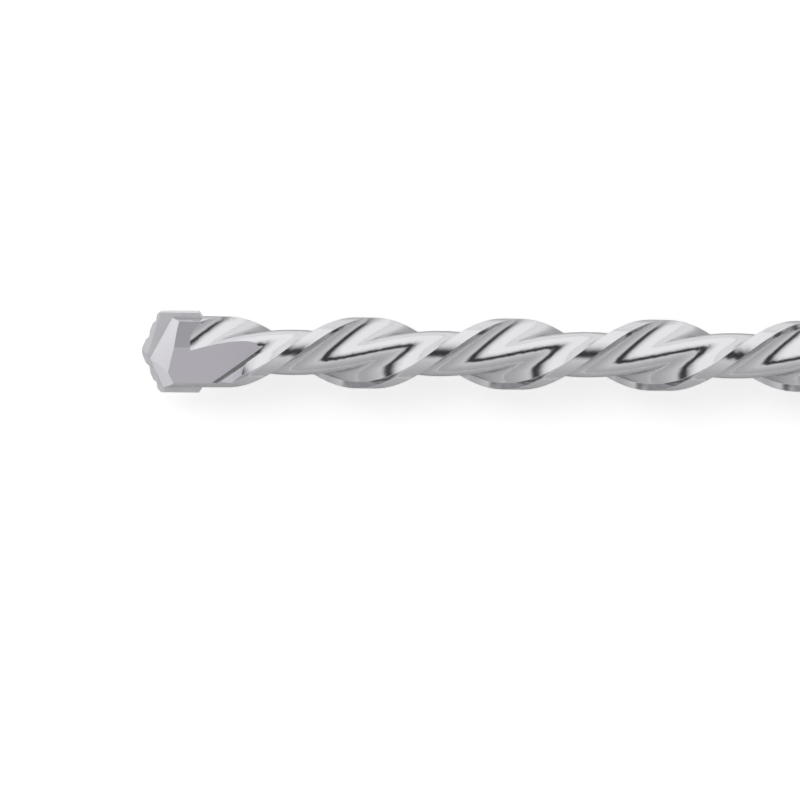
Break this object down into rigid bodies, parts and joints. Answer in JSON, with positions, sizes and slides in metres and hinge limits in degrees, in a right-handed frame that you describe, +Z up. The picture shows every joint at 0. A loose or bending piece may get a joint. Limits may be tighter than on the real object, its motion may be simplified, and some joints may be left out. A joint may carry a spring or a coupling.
{
  "type": "sds plus drill bit",
  "caption": "Hammer drill bit for masonry: a round shank with drive grooves and locking pockets, twisted flutes with ribs, and a notched hard-metal plate brazed across the slotted head.",
  "frame": {"origin": "on the surface that the bit lies on, under the middle of its length", "axes": "+X along the bit from its tip to the rear end of its shank, +Z up; the cutting plate lies 8.5 degrees off the horizontal"},
  "size_m": [0.166, 0.0124, 0.0109],
  "materials": {
    "steel": "bright satin steel, smooth flutes and fine turning lines on the shank",
    "carbide": "ground hard metal, slightly darker and grainier than the steel"
  },
  "bodies": {
    "root": {"steel_body": "steel", "carbide_tip": "carbide"}
  },
  "joints": []
}
